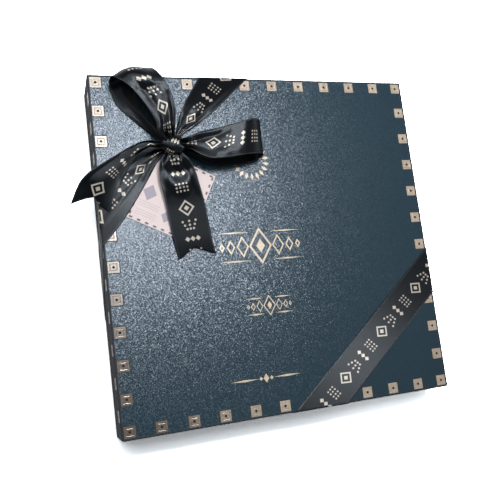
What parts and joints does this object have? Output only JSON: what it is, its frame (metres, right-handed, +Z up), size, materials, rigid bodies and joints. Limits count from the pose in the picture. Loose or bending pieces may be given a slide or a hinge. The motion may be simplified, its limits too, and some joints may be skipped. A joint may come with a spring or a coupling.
{
  "type": "chocolate box",
  "caption": "Shallow square two-piece gift box with a telescoping lid, satin ribbon and bow, tucked card, and divided tray of filled chocolates in paper cups.",
  "frame": {"origin": "centre of the box's underside", "axes": "+Z up through the lid, +Y towards the lid's upper edge as it is read, +X towards its right edge"},
  "size_m": [0.2451, 0.2295, 0.0506],
  "materials": {
    "greyboard": "matte",
    "lid_pearl_paper": "satin",
    "base_paper": "matte",
    "lining_paper": "matte",
    "liner_paper": "matte",
    "divider_card": "satin",
    "cup_paper": "matte",
    "pad_paper": "matte",
    "leaflet_paper": "matte",
    "card_stock": "matte",
    "satin_ribbon": "satin",
    "dark_chocolate": "satin",
    "milk_chocolate": "satin",
    "bitter_chocolate": "satin",
    "white_chocolate": "satin",
    "nut_chocolate": "satin"
  },
  "bodies": {
    "base": {"base_bottom_paper": "base_paper", "base_board": "greyboard", "base_wrap": "base_paper", "base_lining": "lining_paper", "bottom_liner": "liner_paper"},
    "divider_grid": {"divider_across_1": "divider_card", "divider_across_2": "divider_card", "divider_across_3": "divider_card", "divider_across_4": "divider_card", "divider_along_1": "divider_card", "divider_along_2": "divider_card", "divider_along_3": "divider_card", "divider_along_4": "divider_card"},
    "assortment": {"paper_cups": "cup_paper", "praline_11_dome": "dark_chocolate", "praline_12_square": "milk_chocolate", "praline_13_baton": "bitter_chocolate", "praline_14_rosette": "white_chocolate", "praline_15_nut_cup": "nut_chocolate", "praline_21_baton": "bitter_chocolate", "praline_22_rosette": "white_chocolate", "praline_23_nut_cup": "nut_chocolate", "praline_24_dome": "dark_chocolate", "praline_25_square": "milk_chocolate", "praline_31_nut_cup": "nut_chocolate", "praline_32_dome": "dark_chocolate", "praline_33_square": "milk_chocolate", "praline_34_baton": "bitter_chocolate", "praline_35_rosette": "white_chocolate", "praline_41_square": "milk_chocolate", "praline_42_baton": "bitter_chocolate", "praline_43_rosette": "white_chocolate", "praline_44_nut_cup": "nut_chocolate", "praline_45_dome": "dark_chocolate", "praline_51_rosette": "white_chocolate", "praline_52_nut_cup": "nut_chocolate", "praline_53_dome": "dark_chocolate", "praline_54_square": "milk_chocolate", "praline_55_baton": "bitter_chocolate"},
    "cushion": {"cushion_pad": "pad_paper"},
    "leaflet": {"flavour_leaflet": "leaflet_paper"},
    "lid": {"lid_board": "greyboard", "lid_wrap": "lid_pearl_paper", "lid_lining": "lining_paper", "ribbon_corner_band": "satin_ribbon", "ribbon_upper_band": "satin_ribbon", "ribbon_left_band": "satin_ribbon", "bow_knot": "satin_ribbon", "bow_upper_loop": "satin_ribbon", "bow_right_loop": "satin_ribbon", "bow_lower_tail": "satin_ribbon", "bow_left_tail": "satin_ribbon"},
    "card": {"gift_card": "card_stock"}
  },
  "joints": [
    {"name": "divider_grid_lift", "type": "slide", "parent": "base", "child": "divider_grid", "axis": [0, 0, 1], "range_m": [0, 0.035]},
    {"name": "assortment_lift", "type": "slide", "parent": "divider_grid", "child": "assortment", "axis": [0, 0, 1], "range_m": [0, 0.035]},
    {"name": "cushion_lift", "type": "slide", "parent": "assortment", "child": "cushion", "axis": [0, 0, 1], "range_m": [0, 0.03]},
    {"name": "leaflet_lift", "type": "slide", "parent": "cushion", "child": "leaflet", "axis": [0, 0, 1], "range_m": [0, 0.02]},
    {"name": "lid_lift", "type": "slide", "parent": "leaflet", "child": "lid", "axis": [0, 0, 1], "range_m": [0, 0.06]},
    {"name": "card_pull", "type": "slide", "parent": "lid", "child": "card", "axis": [0, -1, 0], "range_m": [0, 0.075]}
  ]
}
